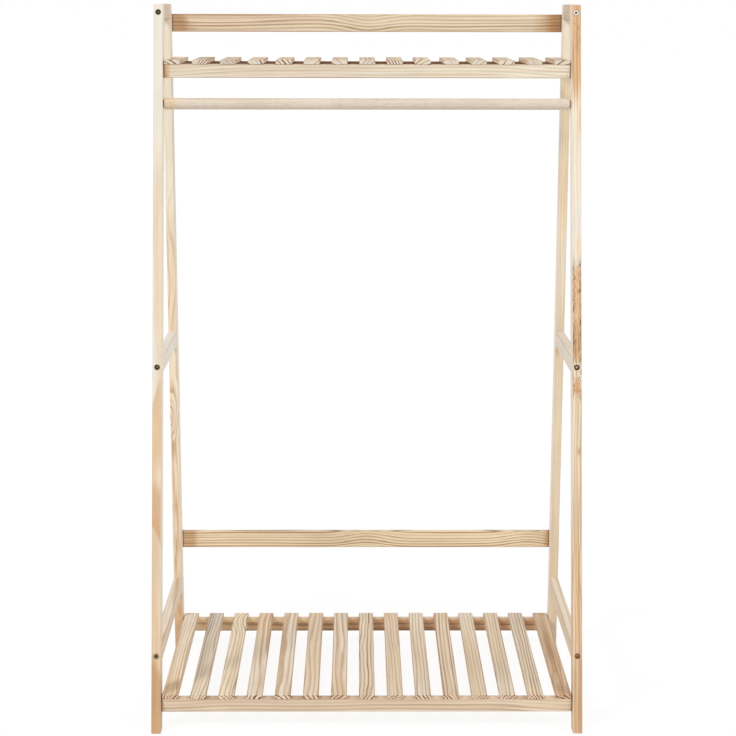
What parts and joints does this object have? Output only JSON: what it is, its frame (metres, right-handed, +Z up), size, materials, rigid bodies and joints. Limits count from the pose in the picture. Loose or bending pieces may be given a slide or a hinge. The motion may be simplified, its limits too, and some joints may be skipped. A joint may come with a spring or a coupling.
{
  "type": "open frame wardrobe",
  "caption": "Open pine clothes stand: raked side frames joined by rails, a slatted shoe shelf below, a slatted hat shelf above and a round hanging rod.",
  "frame": {"origin": "on the floor, under the middle of the wardrobe's width and depth", "axes": "+Z up, +X to the right as seen from the front, +Y to the back, where the rear legs stand upright"},
  "size_m": [0.82, 0.465, 1.36],
  "materials": {
    "frame_pine": "planed, clear matt",
    "slat_pine": "planed, clear matt",
    "rod_wood": "turned, clear matt",
    "dowel_wood": "raw",
    "screw_steel": "zinc plated, satin"
  },
  "bodies": {
    "root": {"back_rail_screws": "screw_steel", "front_leg_left": "frame_pine", "front_leg_right": "frame_pine", "front_leg_screws": "screw_steel", "hanging_rod": "rod_wood", "lower_back_rail": "frame_pine", "lower_shelf_back_rail": "frame_pine", "lower_shelf_front_rail": "frame_pine", "lower_shelf_slat_01": "slat_pine", "lower_shelf_slat_02": "slat_pine", "lower_shelf_slat_03": "slat_pine", "lower_shelf_slat_04": "slat_pine", "lower_shelf_slat_05": "slat_pine", "lower_shelf_slat_06": "slat_pine", "lower_shelf_slat_07": "slat_pine", "lower_shelf_slat_08": "slat_pine", "lower_shelf_slat_09": "slat_pine", "lower_shelf_slat_10": "slat_pine", "lower_shelf_slat_11": "slat_pine", "lower_shelf_slat_12": "slat_pine", "lower_shelf_slat_13": "slat_pine", "lower_shelf_slat_14": "slat_pine", "lower_shelf_slat_15": "slat_pine", "lower_side_rail_left": "frame_pine", "lower_side_rail_right": "frame_pine", "middle_side_rail_left": "frame_pine", "middle_side_rail_right": "frame_pine", "rear_leg_left": "frame_pine", "rear_leg_right": "frame_pine", "rear_leg_screws": "screw_steel", "rod_screws": "screw_steel", "shelf_rail_screws": "screw_steel", "side_rail_dowels": "dowel_wood", "top_back_rail": "frame_pine", "top_side_rail_left": "frame_pine", "top_side_rail_right": "frame_pine", "upper_shelf_back_rail": "frame_pine", "upper_shelf_front_rail": "frame_pine", "upper_shelf_slat_01": "slat_pine", "upper_shelf_slat_02": "slat_pine", "upper_shelf_slat_03": "slat_pine", "upper_shelf_slat_04": "slat_pine", "upper_shelf_slat_05": "slat_pine", "upper_shelf_slat_06": "slat_pine", "upper_shelf_slat_07": "slat_pine", "upper_shelf_slat_08": "slat_pine", "upper_shelf_slat_09": "slat_pine", "upper_shelf_slat_10": "slat_pine", "upper_shelf_slat_11": "slat_pine", "upper_shelf_slat_12": "slat_pine", "upper_shelf_slat_13": "slat_pine", "upper_shelf_slat_14": "slat_pine", "upper_shelf_slat_15": "slat_pine"}
  },
  "joints": []
}
